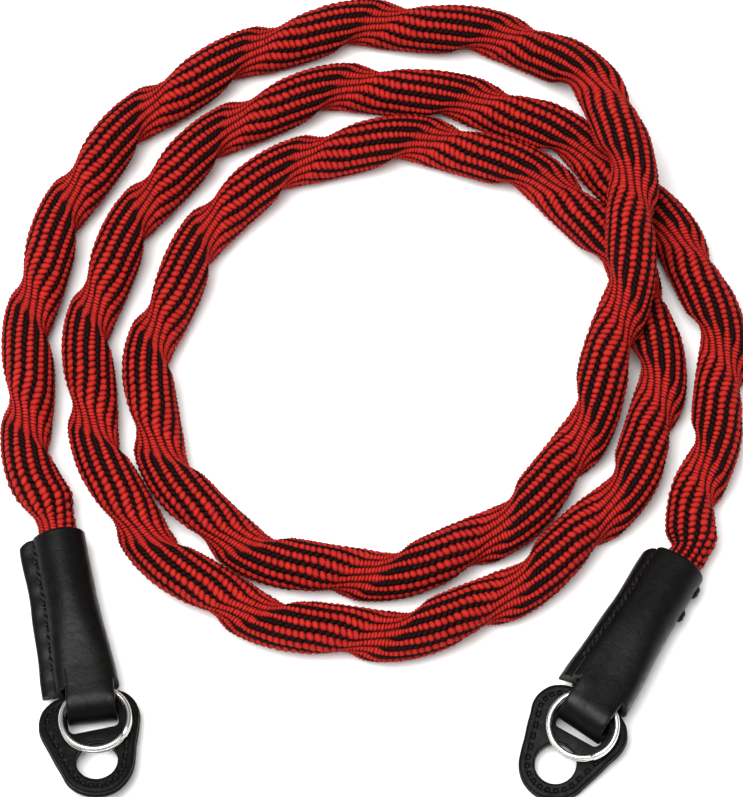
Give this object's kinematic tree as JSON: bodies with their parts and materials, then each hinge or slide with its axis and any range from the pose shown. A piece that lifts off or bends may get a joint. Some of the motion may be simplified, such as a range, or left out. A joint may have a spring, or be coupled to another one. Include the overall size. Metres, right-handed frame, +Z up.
{
  "type": "coiled camera strap",
  "caption": "Round braided neck cord laid in loose turns, with a sewn leather sleeve, a leather guard tab and a steel split ring at each end.",
  "frame": {"origin": "on the surface that the strap lies on, under the middle of the whole strap", "axes": "+Z up from the surface, +Y away from the two leather ends, +X to the right when the leather ends point at the viewer"},
  "size_m": [0.1552, 0.1818, 0.0242],
  "materials": {
    "braided_yarn": "tight braid of red and black yarn with a soft sheen",
    "sleeve_leather": "smooth black leather, semi-matt",
    "tab_leather": "black leather, two layers, painted edge",
    "ring_steel": "polished spring steel"
  },
  "bodies": {
    "root": {"braided_cord": "braided_yarn", "end_sleeve_left": "sleeve_leather", "end_sleeve_right": "sleeve_leather", "guard_tab_left": "tab_leather", "guard_tab_right": "tab_leather", "split_ring_left": "ring_steel", "split_ring_right": "ring_steel"}
  },
  "joints": []
}
